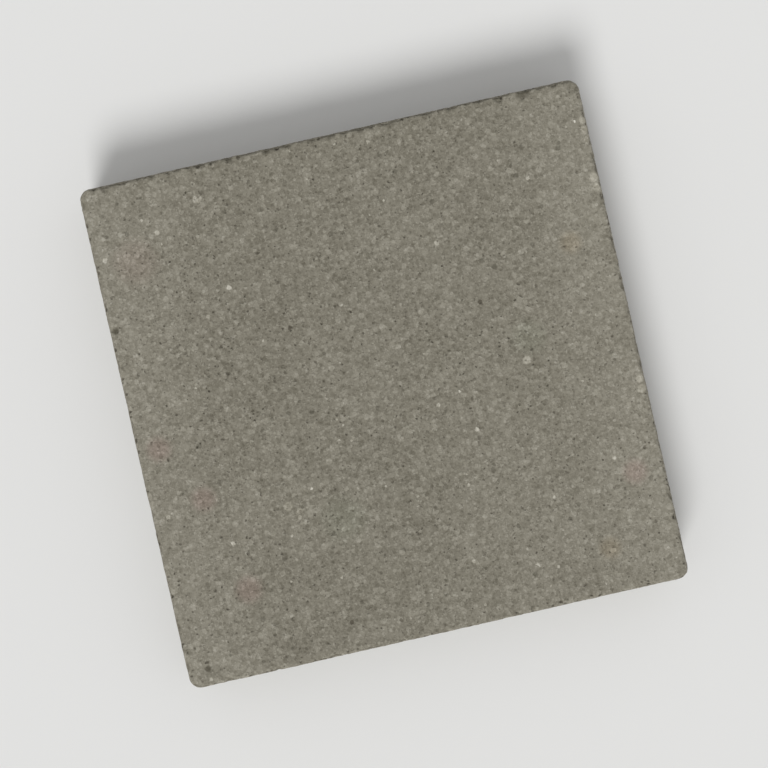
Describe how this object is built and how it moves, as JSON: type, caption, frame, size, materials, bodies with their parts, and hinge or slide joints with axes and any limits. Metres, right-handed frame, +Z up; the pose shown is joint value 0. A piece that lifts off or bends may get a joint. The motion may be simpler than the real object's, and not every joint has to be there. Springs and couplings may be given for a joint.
{
  "type": "concrete paving stone",
  "caption": "Square grey concrete paving stone with rounded upright corners and a narrow worn edge, laid in a plain grid on a bed of sand.",
  "frame": {"origin": "middle of the bed face, where the stone lies on its bed", "axes": "+Z up, out of the wearing face; X and Y along the sides"},
  "size_m": [0.298, 0.298, 0.045],
  "materials": {
    "concrete": "matt pressed concrete, warm grey with a greenish cast, fine sand grain, sparse pale specks"
  },
  "bodies": {
    "root": {"paving_stone": "concrete"}
  },
  "joints": []
}
